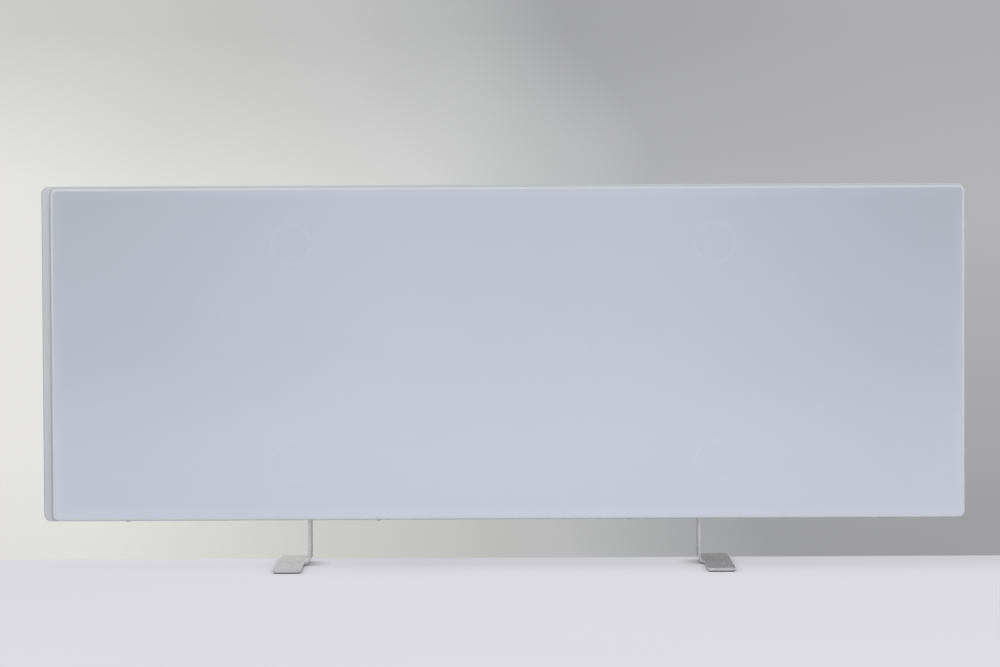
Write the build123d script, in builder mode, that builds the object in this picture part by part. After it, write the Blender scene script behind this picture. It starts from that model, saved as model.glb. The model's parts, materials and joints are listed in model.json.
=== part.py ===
from build123d import *
from math import cos, radians, sin
import os

# A low convector heater: a back-painted glass pane on a slim steel casing, warmed by a
# finned element low inside, standing on two feet of bent flat steel.
# X runs to the right as the front is seen, Y to the back, Z up. The origin is on the floor,
# midway between the feet and midway along their plates. All sizes are in millimetres.

os.makedirs("parts", exist_ok=True)

# Casing
panel_width = 1024.0
panel_height = 372.0
floor_gap = 53.0
panel_mid_z = floor_gap + panel_height / 2
panel_top = floor_gap + panel_height
corner_radius = 8.0
tray_sheet = 1.2
tray_front = -22.0
tray_depth = 20.0
tray_edge_radius = 2.4
casing_sheet = 1.0
nest_gap = 0.2
casing_front = tray_front + 14.0
casing_back = 56.0
casing_edge = 4.0
casing_inset = tray_sheet + nest_gap
casing_width = panel_width - 2 * casing_inset
casing_height = panel_height - 2 * casing_inset
casing_corner = corner_radius - casing_inset
casing_wall_back = casing_back - casing_sheet
casing_floor = floor_gap + casing_inset
casing_roof = panel_top - casing_inset

# Glass pane, which leaves a wide rim of casing at the left and a thin one above
glass_thickness = 4.0
glass_gap = 3.0
rim_left = 10.5
rim_right = 0.5
rim_top = 2.2
rim_bottom = 0.8
glass_corner = 7.0
glass_edge_radius = 1.8
glass_back = tray_front - glass_gap
glass_width = panel_width - rim_left - rim_right
glass_height = panel_height - rim_top - rim_bottom
glass_mid_x = (rim_left - rim_right) / 2
glass_mid_z = panel_mid_z + (rim_bottom - rim_top) / 2

# Round fixings between the pane and the casing
disc_diameter = 44.0
disc_thickness = 2.2
bond_thickness = glass_gap - disc_thickness
stud_diameter = 5.0
stud_length = 12.0
disc_spacing_x = 470.0
disc_spacing_z = 242.0

# Feet
steel = 3.0
pad_thickness = 1.2
pad_inset = 0.5
plate_length = 182.0
plate_width = 30.0
plate_corner = 5.0
bend_radius = 4.0
upright_inner_x = 216.6
upright_outer_x = upright_inner_x + steel
upright_front = 2.0
upright_depth = casing_wall_back - upright_front
plate_inner_x = upright_outer_x + bend_radius
plate_outer_x = plate_inner_x + plate_width
plate_mid_x = (plate_inner_x + plate_outer_x) / 2
steel_top = pad_thickness + steel
tab_width = 26.0
tab_bottom = floor_gap + 14.0
tab_height = 56.0
tab_corner = 4.0
tab_hole_spacing = 30.0
foot_screw_diameter = 5.0
foot_screw_x = upright_outer_x + 14.0
foot_screw_mid_z = tab_bottom + tab_height / 2
slot_clearance = 1.0

# Warm-air outlet in the top
outlet_length = 880.0
outlet_depth = 40.0
outlet_mid_y = 26.0
outlet_frame_lip = 6.0
outlet_lip_thickness = 1.1
outlet_skirt = 10.0
outlet_skirt_wall = 1.6
outlet_slat_count = 4
outlet_slat_height = 10.5
outlet_slat_thickness = 1.4
outlet_slat_tilt = 28.0
outlet_rib_count = 9
outlet_rib_thickness = 2.0

# Cold-air inlets in the underside
inlet_length = 44.0
inlet_width = 6.0
inlet_pitch_x = 60.0
inlet_count_side = 4
inlet_count_middle = 6
inlet_pitch_y = 13.0
inlet_rows = 3
inlet_mid_y = 26.0
inlet_side_mid_x = 366.0

# Hanging slots in the rear wall
hang_spacing_x = 600.0
hang_spacing_z = 140.0
hang_slot_length = 18.0
hang_slot_width = 7.0
hang_mid_z = 270.0

# Heating element
element_y = 18.0
element_z = 148.0
hub_radius = 6.2
rod_radius = 4.3
rod_clearance = 0.05
rod_length = 910.0
terminal_pin_radius = 2.0
terminal_pin_length = 10.0
wing_length = 29.0
wing_thickness = 1.1
fin_length = 850.0
wing_slot_length = 42.0
wing_slot_width = 10.0
wing_slot_pitch = 60.0
wing_slot_count = 14
bush_radius = 8.0
bush_flange_radius = 10.5
bush_length = 9.0
bush_flange = 2.5
bracket_x = 442.0
bracket_sheet = 1.2
bracket_height = 64.0
bracket_flange = 16.0

# Heat shield and heat baffle
shield_sheet = 0.6
shield_face = 47.0
shield_width = 840.0
shield_bottom = 92.0
shield_top = 376.0
shield_lip = 12.0
baffle_x = 468.0
baffle_sheet = 1.0
baffle_flange = 10.0
baffle_wire_hole = 6.0
baffle_low_hole = 4.4
neutral_run_z = 66.0
neutral_run_y = -1.0

# Control panel in the right-hand end
control_y = 27.0
control_mid_z = 363.0
fascia_width = 44.0
fascia_height = 104.0
fascia_corner = 6.0
fascia_plate = 1.6
cup_width = 38.0
cup_height = 98.0
cup_wall = 1.8
cup_depth = 16.6
cup_corner = 4.0
face_thickness = 2.2
fit_gap = 0.2
casing_side = casing_width / 2
fascia_face = casing_side + fascia_plate
face_inside = fascia_face - face_thickness

# Buttons
button_gap = 0.3
button_travel = 0.8
power_button_z = panel_top - 26.0
power_button_diameter = 5.0
power_button_proud = 1.0
step_button_width = 14.0
step_button_height = 8.0
step_button_corner = 2.0
step_button_recess = 0.2
plus_button_z = 354.0
minus_button_z = 342.0
button_flange_extra = 1.0
button_flange_thickness = 1.2
button_stem_width = 2.6
power_flange_width = power_button_diameter + 2 * (button_gap + button_flange_extra)

# Display
lens_width = 22.0
lens_height = 13.0
lens_thickness = 1.5
lens_z = 375.0
lens_ledge = 1.5
module_depth = 8.4

# Circuit board and what it carries
board_x = 499.0
board_thickness = 1.6
board_width = 33.0
board_height = 76.0
board_mid_z = 371.5
board_front = board_x + board_thickness
tact_body = 6.0
tact_body_height = 3.0
plunger_radius = 1.7
plunger_height = 1.0
tact_top = board_front + tact_body_height + plunger_height
post_radius = 2.6
post_hole_radius = 1.1
board_screw_places = [(14.5, 406.0), (39.5, 337.5)]
relay_size = (10.0, 16.0, 20.0)
relay_place = (control_y - 6.0, 368.0)
capacitor_radius = 5.0
capacitor_length = 14.0
capacitor_place = (control_y + 10.0, 372.0)

# Main switch
switch_z = 324.0
switch_width = 19.0
switch_height = 13.0
switch_flange_extra = 1.0
switch_flange_thickness = 1.2
switch_depth = 13.0
switch_wall = 1.3
rocker_radius = 7.9
rocker_pivot_x = 508.0
rocker_crown = 3.0
rocker_dip = 1.0
rocker_belly = 4.0
rocker_half_height = 4.9
rocker_rest_tilt = 8.0
trunnion_radius = 1.0
trunnion_bore_radius = 1.05
spade_width = 4.8
spade_thickness = 0.8
spade_length = 8.0
spade_gap = 5.5

# Cord inlet, low in the rear wall
gland_x = 490.0
gland_z = 73.0
gland_bore_radius = 3.6
gland_body_radius = 6.0
gland_flange_radius = 8.6
gland_flange = 2.6
gland_body_length = 9.0
gland_nut_width = 16.0
gland_nut_thickness = 4.0

# Terminal block, sensor and thermal cut-out
block_size = (28.0, 14.0, 18.0)
block_x = 490.0
block_z = 98.0
block_pole_pitch = 8.8
block_way = 3.4
block_screw_way = 3.0
sensor_radius = 2.6
sensor_length = 22.0
sensor_place = (498.0, 12.0)
cutout_radius = 7.8
cutout_height = 9.0
cutout_x = 396.0
cutout_z = 262.0
cutout_ear_width = 6.0
cutout_ear_span = 24.0
cutout_ear_thickness = 0.8

# Wires
wire_radius = 1.2
wire_sides = 6
wire_bend = 6.0

# Screws, whose shanks are prisms of a few sides
shank_sides = 8
casing_screw_diameter = 3.0
casing_screw_length = 7.0
casing_screw_y = -5.0
casing_screw_places = [-420.0, -140.0, 140.0, 420.0]
board_screw_diameter = 2.0


def facing_front(y):
    """Plane across the heater at depth y, seen from the front, with its normal to the front."""
    return Plane.XZ.offset(-y)


def facing_side(x):
    """Plane across the heater's length at x, with its own X to the back and its own Y up."""
    return Plane.YZ.offset(x)


def hex_screw(diameter, length, head_height):
    """Flanged hexagon screw, its flange's underside at z = 0 and its shank pointing down."""
    with BuildPart() as screw:
        with BuildSketch(Plane.XY):
            RegularPolygon(0.8 * diameter, 6, major_radius=False)
        extrude(amount=head_height)
        chamfer(screw.faces().sort_by(Axis.Z)[-1].edges(), length=0.25 * head_height)
        with BuildSketch(Plane.XY):
            RegularPolygon(diameter / 2, shank_sides)
        extrude(amount=-length)
    return screw.part


def write(part, name):
    part.label = name
    export_step(part, f"parts/{name}.step")


# Places that several pieces share
disc_places = [
    (x, panel_mid_z + z)
    for x in (-disc_spacing_x / 2, disc_spacing_x / 2)
    for z in (-disc_spacing_z / 2, disc_spacing_z / 2)
]
foot_screw_places = [
    (side * foot_screw_x, foot_screw_mid_z + z)
    for side in (-1, 1)
    for z in (-tab_hole_spacing / 2, tab_hole_spacing / 2)
]
hang_places = [
    (x, hang_mid_z + z)
    for x in (-hang_spacing_x / 2, hang_spacing_x / 2)
    for z in (-hang_spacing_z / 2, hang_spacing_z / 2)
]

# Front half of the casing: a pressed tray, open at the back, with holes for the disc studs
with BuildPart() as front_tray:
    with BuildSketch(facing_front(tray_front)):
        with Locations((0, panel_mid_z)):
            RectangleRounded(panel_width, panel_height, corner_radius)
    extrude(amount=-tray_depth)
    fillet(front_tray.faces().sort_by(Axis.Y)[0].edges(), radius=tray_edge_radius)
    with BuildSketch(facing_front(tray_front + tray_sheet)):
        with Locations((0, panel_mid_z)):
            RectangleRounded(
                panel_width - 2 * tray_sheet,
                panel_height - 2 * tray_sheet,
                corner_radius - tray_sheet,
            )
    extrude(amount=-tray_depth, mode=Mode.SUBTRACT)
    with BuildSketch(facing_front(tray_front)):
        with Locations(*disc_places):
            Circle(stud_diameter / 2 + 0.5)
    extrude(amount=-2 * tray_sheet, mode=Mode.SUBTRACT)
    with BuildSketch(Plane.XY.offset(floor_gap)):
        with Locations(*[(x, casing_screw_y) for x in casing_screw_places]):
            Circle(casing_screw_diameter / 2 + 0.1)
    extrude(amount=2 * tray_sheet, mode=Mode.SUBTRACT)
write(front_tray.part, "front_tray")

# Rear half of the casing: a deeper tray that nests inside the front one
with BuildPart() as rear_casing:
    with BuildSketch(facing_front(casing_front)):
        with Locations((0, panel_mid_z)):
            RectangleRounded(casing_width, casing_height, casing_corner)
    extrude(amount=-(casing_back - casing_front))
    chamfer(rear_casing.faces().sort_by(Axis.Y)[-1].edges(), length=casing_edge)
    offset(amount=-casing_sheet, openings=rear_casing.faces().sort_by(Axis.Y)[0])
    # Outlet cut-out in the roof
    with BuildSketch(Plane.XY.offset(casing_roof)):
        with Locations((0, outlet_mid_y)):
            Rectangle(outlet_length, outlet_depth)
    extrude(amount=-2 * casing_sheet, mode=Mode.SUBTRACT)
    # Inlet slots in the floor, clear of the feet
    with BuildSketch(Plane.XY.offset(casing_floor)):
        with Locations((-inlet_side_mid_x, inlet_mid_y), (inlet_side_mid_x, inlet_mid_y)):
            with GridLocations(inlet_pitch_x, inlet_pitch_y, inlet_count_side, inlet_rows):
                Rectangle(inlet_length, inlet_width)
        with Locations((0, inlet_mid_y)):
            with GridLocations(inlet_pitch_x, inlet_pitch_y, inlet_count_middle, inlet_rows):
                Rectangle(inlet_length, inlet_width)
    extrude(amount=2 * casing_sheet, mode=Mode.SUBTRACT)
    # L-shaped slots that let each foot's upright and its bent tab through the floor
    with BuildSketch(Plane.XY.offset(casing_floor)):
        for side in (-1, 1):
            slot_width = steel + 2 * slot_clearance
            slot_depth = upright_depth + slot_clearance
            upright_mid_x = side * (upright_inner_x + upright_outer_x) / 2
            with Locations((upright_mid_x, casing_wall_back - slot_depth / 2)):
                Rectangle(slot_width, slot_depth)
            tab_slot_width = tab_width + 2 * slot_clearance
            tab_slot_x = side * (upright_inner_x + tab_width / 2)
            with Locations((tab_slot_x, casing_wall_back - (steel + slot_clearance) / 2)):
                Rectangle(tab_slot_width, steel + slot_clearance)
    extrude(amount=casing_edge + casing_sheet, mode=Mode.SUBTRACT)
    # Holes and slots in the rear wall
    with BuildSketch(facing_front(casing_back)):
        with Locations(*foot_screw_places):
            Circle(foot_screw_diameter / 2 + 0.25)
        with Locations(*hang_places):
            SlotOverall(hang_slot_length, hang_slot_width)
        with Locations((gland_x, gland_z)):
            Circle(gland_body_radius + 0.1)
    extrude(amount=2 * casing_sheet, mode=Mode.SUBTRACT)
    # Window for the control panel
    with BuildSketch(facing_side(casing_side)):
        with Locations((control_y, control_mid_z)):
            RectangleRounded(cup_width + 2 * fit_gap, cup_height + 2 * fit_gap, cup_corner)
    extrude(amount=-2 * casing_sheet, mode=Mode.SUBTRACT)
    # Holes for the casing screws
    with BuildSketch(Plane.XY.offset(casing_floor)):
        with Locations(*[(x, casing_screw_y) for x in casing_screw_places]):
            Circle(casing_screw_diameter / 2 + 0.1)
    extrude(amount=2 * casing_sheet, mode=Mode.SUBTRACT)
write(rear_casing.part, "rear_casing")

# Outlet grille: a lipped frame with tilted slats that throw the warm air forwards
with BuildPart() as outlet_grille:
    lip_length = outlet_length + 2 * outlet_frame_lip
    lip_depth = outlet_depth + 2 * outlet_frame_lip
    skirt_length = outlet_length - 2 * fit_gap
    skirt_depth = outlet_depth - 2 * fit_gap
    inner_length = skirt_length - 2 * outlet_skirt_wall
    inner_depth = skirt_depth - 2 * outlet_skirt_wall
    with BuildSketch(Plane.XY.offset(casing_roof)):
        with Locations((0, outlet_mid_y)):
            RectangleRounded(lip_length, lip_depth, 3)
    extrude(amount=outlet_lip_thickness)
    with BuildSketch(Plane.XY.offset(casing_roof)):
        with Locations((0, outlet_mid_y)):
            Rectangle(skirt_length, skirt_depth)
    extrude(amount=-outlet_skirt)
    with BuildSketch(Plane.XY.offset(casing_roof + outlet_lip_thickness)):
        with Locations((0, outlet_mid_y)):
            Rectangle(inner_length, inner_depth)
    extrude(amount=-(outlet_skirt + outlet_lip_thickness), mode=Mode.SUBTRACT)
    slat_pitch = inner_depth / outlet_slat_count
    slat_mid_z = casing_roof + outlet_lip_thickness - 0.5 * outlet_slat_height * cos(radians(outlet_slat_tilt)) - 0.6
    with BuildSketch(facing_side(-inner_length / 2 - outlet_skirt_wall / 2)):
        for row in range(outlet_slat_count):
            slat_y = outlet_mid_y - inner_depth / 2 + (row + 0.5) * slat_pitch
            with Locations((slat_y, slat_mid_z)):
                Rectangle(outlet_slat_thickness, outlet_slat_height, rotation=outlet_slat_tilt)
    extrude(amount=inner_length + outlet_skirt_wall)
    rib_height = outlet_skirt - 1.0
    rib_pitch = inner_length / (outlet_rib_count + 1)
    with BuildSketch(Plane.XY.offset(casing_roof - outlet_skirt)):
        with Locations((0, outlet_mid_y)):
            with GridLocations(rib_pitch, 1, outlet_rib_count, 1):
                Rectangle(outlet_rib_thickness, inner_depth + outlet_skirt_wall)
    extrude(amount=rib_height)
write(outlet_grille.part, "outlet_grille")

# Glass pane with a rounded, polished front edge
with BuildPart() as front_glass:
    with BuildSketch(facing_front(glass_back)):
        with Locations((glass_mid_x, glass_mid_z)):
            RectangleRounded(glass_width, glass_height, glass_corner)
    extrude(amount=glass_thickness)
    fillet(front_glass.faces().sort_by(Axis.Y)[0].edges(), radius=glass_edge_radius)
write(front_glass.part, "front_glass")

# Bonding pads and studded discs that hold the pane off the casing
with BuildPart() as glass_bond_pads:
    with BuildSketch(facing_front(glass_back)):
        with Locations(*disc_places):
            Circle(disc_diameter / 2)
    extrude(amount=-bond_thickness)
write(glass_bond_pads.part, "glass_bond_pads")

with BuildPart() as glass_mount_discs:
    with BuildSketch(facing_front(glass_back + bond_thickness)):
        with Locations(*disc_places):
            Circle(disc_diameter / 2)
    extrude(amount=-disc_thickness)
    with BuildSketch(facing_front(tray_front)):
        with Locations(*disc_places):
            RegularPolygon(stud_diameter / 2, shank_sides)
    extrude(amount=-stud_length)
write(glass_mount_discs.part, "glass_mount_discs")

with BuildPart() as glass_stud_nuts:
    nut_width = 8.0
    nut_thickness = 4.0
    with BuildSketch(facing_front(tray_front + tray_sheet)):
        with Locations(*disc_places):
            RegularPolygon(nut_width / 2, 6, major_radius=False)
            RegularPolygon(stud_diameter / 2 + 0.05, shank_sides, mode=Mode.SUBTRACT)
    extrude(amount=-nut_thickness)
write(glass_stud_nuts.part, "glass_stud_nuts")

# Foot: one strip of steel, cut with a side tongue that is bent up as the upright, whose top
# is bent again into a tab that lies on the casing's rear wall
with BuildPart() as right_foot_bracket:
    with BuildSketch(Plane.XY.offset(pad_thickness)):
        with Locations((plate_mid_x, 0)):
            RectangleRounded(plate_width, plate_length, plate_corner)
    extrude(amount=steel)
    # Tongue, bend and upright in one profile
    outer_bend = bend_radius + steel
    with BuildSketch(facing_front(upright_front)):
        with BuildLine():
            Line((plate_inner_x + steel, pad_thickness), (plate_inner_x, pad_thickness))
            RadiusArc(
                (plate_inner_x, pad_thickness),
                (upright_inner_x, pad_thickness + outer_bend),
                outer_bend,
            )
            Polyline(
                (upright_inner_x, pad_thickness + outer_bend),
                (upright_inner_x, tab_bottom + tab_height),
                (upright_outer_x, tab_bottom + tab_height),
                (upright_outer_x, steel_top + bend_radius),
            )
            RadiusArc(
                (upright_outer_x, steel_top + bend_radius),
                (plate_inner_x, steel_top),
                -bend_radius,
            )
            Polyline(
                (plate_inner_x, steel_top),
                (plate_inner_x + steel, steel_top),
                (plate_inner_x + steel, pad_thickness),
            )
        make_face()
    extrude(amount=-upright_depth)
    # Fixing tab with its bend
    with BuildSketch(Plane.XY.offset(tab_bottom)):
        with BuildLine():
            Polyline(
                (upright_inner_x, casing_wall_back - outer_bend),
                (upright_outer_x, casing_wall_back - outer_bend),
            )
            RadiusArc(
                (upright_outer_x, casing_wall_back - outer_bend),
                (upright_outer_x + bend_radius, casing_wall_back - steel),
                bend_radius,
            )
            Polyline(
                (upright_outer_x + bend_radius, casing_wall_back - steel),
                (upright_inner_x + tab_width, casing_wall_back - steel),
                (upright_inner_x + tab_width, casing_wall_back),
                (upright_inner_x, casing_wall_back),
                (upright_inner_x, casing_wall_back - outer_bend),
            )
        make_face()
    extrude(amount=tab_height)
    tab_ends = right_foot_bracket.faces().filter_by(Axis.X).sort_by(Axis.X)
    tab_end = [f for f in tab_ends if abs(f.center().X - upright_inner_x - tab_width) < 0.01]
    fillet(tab_end[0].edges().filter_by(Axis.Y), radius=tab_corner)
    with BuildSketch(facing_front(casing_wall_back)):
        with Locations(*foot_screw_places[2:]):
            Circle(foot_screw_diameter / 2)
    extrude(amount=steel, mode=Mode.SUBTRACT)
write(right_foot_bracket.part, "right_foot_bracket")

with BuildPart() as left_foot_bracket:
    mirror(right_foot_bracket.part, about=Plane.YZ)
write(left_foot_bracket.part, "left_foot_bracket")

for side, name in ((-1, "left_foot_pad"), (1, "right_foot_pad")):
    with BuildPart() as foot_pad:
        with BuildSketch(Plane.XY):
            with Locations((side * plate_mid_x, 0)):
                RectangleRounded(
                    plate_width - 2 * pad_inset,
                    plate_length - 2 * pad_inset,
                    plate_corner - pad_inset,
                )
        extrude(amount=pad_thickness)
    write(foot_pad.part, name)

# Heating element: an extruded diffuser with four slotted wings round a sheathed rod
with BuildPart() as element_fins:
    with BuildSketch(facing_side(-fin_length / 2)):
        with Locations((element_y, element_z)):
            Circle(hub_radius)
            with PolarLocations(hub_radius + wing_length / 2 - 1, 4, start_angle=45):
                Rectangle(wing_length + 1, wing_thickness)
            Circle(rod_radius + rod_clearance, mode=Mode.SUBTRACT)
    extrude(amount=fin_length)
    slot_reach = 2 * (hub_radius + wing_length / 2)
    for tilt in (45, -45):
        wing_normal = (0, -sin(radians(tilt)), cos(radians(tilt)))
        wing_plane = Plane((0, element_y, element_z), x_dir=(1, 0, 0), z_dir=wing_normal)
        with BuildSketch(wing_plane):
            with GridLocations(wing_slot_pitch, slot_reach, wing_slot_count, 2):
                Rectangle(wing_slot_length, wing_slot_width)
        extrude(amount=wing_thickness, both=True, mode=Mode.SUBTRACT)
write(element_fins.part, "element_fins")

with BuildPart() as element_rod:
    with BuildSketch(facing_side(-rod_length / 2)):
        with Locations((element_y, element_z)):
            Circle(rod_radius)
    extrude(amount=rod_length)
    with BuildSketch(facing_side(-rod_length / 2 - terminal_pin_length)):
        with Locations((element_y, element_z)):
            Circle(terminal_pin_radius)
    extrude(amount=rod_length + 2 * terminal_pin_length)
write(element_rod.part, "element_rod")

# Ceramic bushes, each with a flange on the bracket's inner side
with BuildPart() as element_bushes:
    for side in (-1, 1):
        with BuildSketch(facing_side(side * (bracket_x - bush_flange))):
            with Locations((element_y, element_z)):
                Circle(bush_flange_radius)
        extrude(amount=side * bush_flange)
        with BuildSketch(facing_side(side * (bracket_x - bush_flange))):
            with Locations((element_y, element_z)):
                Circle(bush_radius)
        extrude(amount=side * bush_length)
    with BuildSketch(facing_side(-bracket_x - bush_length)):
        with Locations((element_y, element_z)):
            Circle(rod_radius + rod_clearance)
    extrude(amount=2 * (bracket_x + bush_length), mode=Mode.SUBTRACT)
write(element_bushes.part, "element_bushes")

# Element brackets, spot-welded to the rear wall: an arm that narrows towards the bush
for side, name in ((-1, "left_element_bracket"), (1, "right_element_bracket")):
    with BuildPart() as element_bracket:
        arm_tip = element_y - bush_flange_radius - 2
        with BuildSketch(facing_side(side * bracket_x)):
            with BuildLine():
                Polyline(
                    (casing_wall_back, element_z - bracket_height / 2),
                    (casing_wall_back, element_z + bracket_height / 2),
                    (casing_wall_back - 10, element_z + bracket_height / 2),
                    (element_y, element_z + bush_flange_radius + 2),
                )
                ThreePointArc(
                    (element_y, element_z + bush_flange_radius + 2),
                    (arm_tip, element_z),
                    (element_y, element_z - bush_flange_radius - 2),
                )
                Polyline(
                    (element_y, element_z - bush_flange_radius - 2),
                    (casing_wall_back - 10, element_z - bracket_height / 2),
                    (casing_wall_back, element_z - bracket_height / 2),
                )
            make_face()
            with Locations((element_y, element_z)):
                Circle(bush_radius + 0.05, mode=Mode.SUBTRACT)
        extrude(amount=side * bracket_sheet)
        with BuildSketch(facing_front(casing_wall_back - bracket_sheet)):
            with Locations((side * (bracket_x + bracket_flange / 2), element_z)):
                Rectangle(bracket_flange, bracket_height)
        extrude(amount=-bracket_sheet)
    write(element_bracket.part, name)

# Heat shield: a sheet held off the rear wall by its own bent lips
with BuildPart() as heat_shield:
    with BuildSketch(facing_side(-shield_width / 2)):
        with BuildLine():
            Polyline(
                (casing_wall_back, shield_bottom - shield_lip),
                (casing_wall_back, shield_bottom),
                (shield_face + shield_sheet, shield_bottom),
                (shield_face + shield_sheet, shield_top),
                (casing_wall_back, shield_top),
                (casing_wall_back, shield_top + shield_lip),
                (casing_wall_back - shield_sheet, shield_top + shield_lip),
                (casing_wall_back - shield_sheet, shield_top + shield_sheet),
                (shield_face, shield_top + shield_sheet),
                (shield_face, shield_bottom - shield_sheet),
                (casing_wall_back - shield_sheet, shield_bottom - shield_sheet),
                (casing_wall_back - shield_sheet, shield_bottom - shield_lip),
                close=True,
            )
        make_face()
    extrude(amount=shield_width)
    # Notches round the feet's tabs and windows behind the hanging slots
    with BuildSketch(facing_front(casing_wall_back)):
        for side in (-1, 1):
            with Locations((side * (upright_inner_x + tab_width / 2), shield_bottom)):
                Rectangle(tab_width + 8, 2 * (tab_bottom + tab_height + 4 - shield_bottom))
        with Locations(*hang_places):
            Rectangle(hang_slot_length + 16, hang_slot_width + 20)
    extrude(amount=casing_wall_back - shield_face, mode=Mode.SUBTRACT)
write(heat_shield.part, "heat_shield")

# Heat baffle between the hot side and the control compartment
with BuildPart() as heat_baffle:
    baffle_front = casing_front + 2.0
    baffle_low = casing_floor + casing_sheet
    baffle_high = casing_roof - casing_sheet
    with BuildSketch(facing_side(baffle_x)):
        with BuildLine():
            Polyline(
                (baffle_front, baffle_low),
                (casing_wall_back - casing_edge, baffle_low),
                (casing_wall_back, baffle_low + casing_edge),
                (casing_wall_back, baffle_high - casing_edge),
                (casing_wall_back - casing_edge, baffle_high),
                (baffle_front, baffle_high),
                close=True,
            )
        make_face()
        with Locations((40, cutout_z)):
            Circle(baffle_wire_hole, mode=Mode.SUBTRACT)
        with Locations((0, neutral_run_z)):
            Circle(baffle_low_hole, mode=Mode.SUBTRACT)
    extrude(amount=baffle_sheet)
    with BuildSketch(facing_front(casing_wall_back - baffle_sheet)):
        with Locations((baffle_x - baffle_flange / 2 + baffle_sheet, 290)):
            Rectangle(baffle_flange, 200)
    extrude(amount=-baffle_sheet)
write(heat_baffle.part, "heat_baffle")

# Disc thermostat that cuts the element out, on the heat shield
with BuildPart() as thermal_cutout:
    with BuildSketch(facing_front(shield_face)):
        with Locations((cutout_x, cutout_z)):
            Rectangle(cutout_ear_span + cutout_ear_width, cutout_ear_width)
    extrude(amount=cutout_ear_thickness)
    with BuildSketch(facing_front(shield_face)):
        with Locations((cutout_x, cutout_z)):
            Circle(cutout_radius)
    extrude(amount=cutout_height)
    with BuildSketch(facing_front(shield_face - cutout_height)):
        with Locations((cutout_x - 3.6, cutout_z), (cutout_x + 3.6, cutout_z)):
            Rectangle(spade_thickness, spade_width)
    extrude(amount=spade_length)
write(thermal_cutout.part, "thermal_cutout")

# Control fascia: a lipped plate with a cup behind it that reaches into the casing
with BuildPart() as control_fascia:
    with BuildSketch(facing_side(casing_side)):
        with Locations((control_y, control_mid_z)):
            RectangleRounded(fascia_width, fascia_height, fascia_corner)
    extrude(amount=fascia_plate)
    chamfer(control_fascia.faces().sort_by(Axis.X)[-1].edges(), length=0.5)
    with BuildSketch(facing_side(casing_side)):
        with Locations((control_y, control_mid_z)):
            RectangleRounded(cup_width, cup_height, cup_corner)
    extrude(amount=-cup_depth)
    with BuildSketch(facing_side(face_inside)):
        with Locations((control_y, control_mid_z)):
            RectangleRounded(cup_width - 2 * cup_wall, cup_height - 2 * cup_wall, cup_corner - cup_wall)
    extrude(amount=-(cup_depth + fascia_plate), mode=Mode.SUBTRACT)
    # Posts for the circuit board
    with BuildSketch(facing_side(face_inside)):
        with Locations(*board_screw_places):
            Circle(post_radius)
    extrude(amount=-(face_inside - board_front))
    with BuildSketch(facing_side(board_front)):
        with Locations(*board_screw_places):
            Circle(post_hole_radius)
    extrude(amount=8, mode=Mode.SUBTRACT)
    # Openings for the buttons and the lens, with a ledge for the lens
    with BuildSketch(facing_side(fascia_face)):
        with Locations((control_y, power_button_z)):
            Circle(power_button_diameter / 2 + button_gap)
        with Locations((control_y, plus_button_z), (control_y, minus_button_z)):
            RectangleRounded(
                step_button_width + 2 * button_gap,
                step_button_height + 2 * button_gap,
                step_button_corner + button_gap,
            )
        with Locations((control_y, lens_z)):
            Rectangle(lens_width - 2 * lens_ledge, lens_height - 2 * lens_ledge)
        with Locations((control_y, switch_z)):
            Rectangle(switch_width + 2 * fit_gap, switch_height + 2 * fit_gap)
    extrude(amount=-2 * face_thickness, mode=Mode.SUBTRACT)
    with BuildSketch(facing_side(fascia_face)):
        with Locations((control_y, lens_z)):
            Rectangle(lens_width + 2 * 0.1, lens_height + 2 * 0.1)
    extrude(amount=-lens_thickness, mode=Mode.SUBTRACT)
    with BuildSketch(facing_side(fascia_face)):
        with Locations((control_y, switch_z)):
            Rectangle(
                switch_width + 2 * switch_flange_extra + 2 * fit_gap,
                switch_height + 2 * switch_flange_extra + 2 * fit_gap,
            )
    extrude(amount=-switch_flange_thickness, mode=Mode.SUBTRACT)
write(control_fascia.part, "control_fascia")

# Display: the lens flush in its ledge and the module behind it
with BuildPart() as display_window:
    with BuildSketch(facing_side(fascia_face)):
        with Locations((control_y, lens_z)):
            Rectangle(lens_width, lens_height)
    extrude(amount=-lens_thickness)
write(display_window.part, "display_window")

with BuildPart() as display_module:
    with BuildSketch(facing_side(board_front)):
        with Locations((control_y, lens_z)):
            Rectangle(lens_width - 1, lens_height - 1)
    extrude(amount=module_depth)
write(display_module.part, "display_module")

# Buttons: each has a cap, a flange behind the fascia that stops it, and a stem to its switch
flange_front = face_inside - button_gap
stem_end = tact_top + button_travel + 0.4
with BuildPart() as power_button:
    with BuildSketch(facing_side(flange_front)):
        with Locations((control_y, power_button_z)):
            Circle(power_button_diameter / 2)
    extrude(amount=fascia_face + power_button_proud - flange_front)
    chamfer(power_button.faces().sort_by(Axis.X)[-1].edges(), length=0.5)
    with BuildSketch(facing_side(flange_front)):
        with Locations((control_y, power_button_z)):
            Rectangle(power_flange_width, power_flange_width)
    extrude(amount=-button_flange_thickness)
    with BuildSketch(facing_side(stem_end)):
        with Locations((control_y, power_button_z)):
            Rectangle(button_stem_width, button_stem_width)
    extrude(amount=flange_front - stem_end)
write(power_button.part, "power_button")

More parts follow.
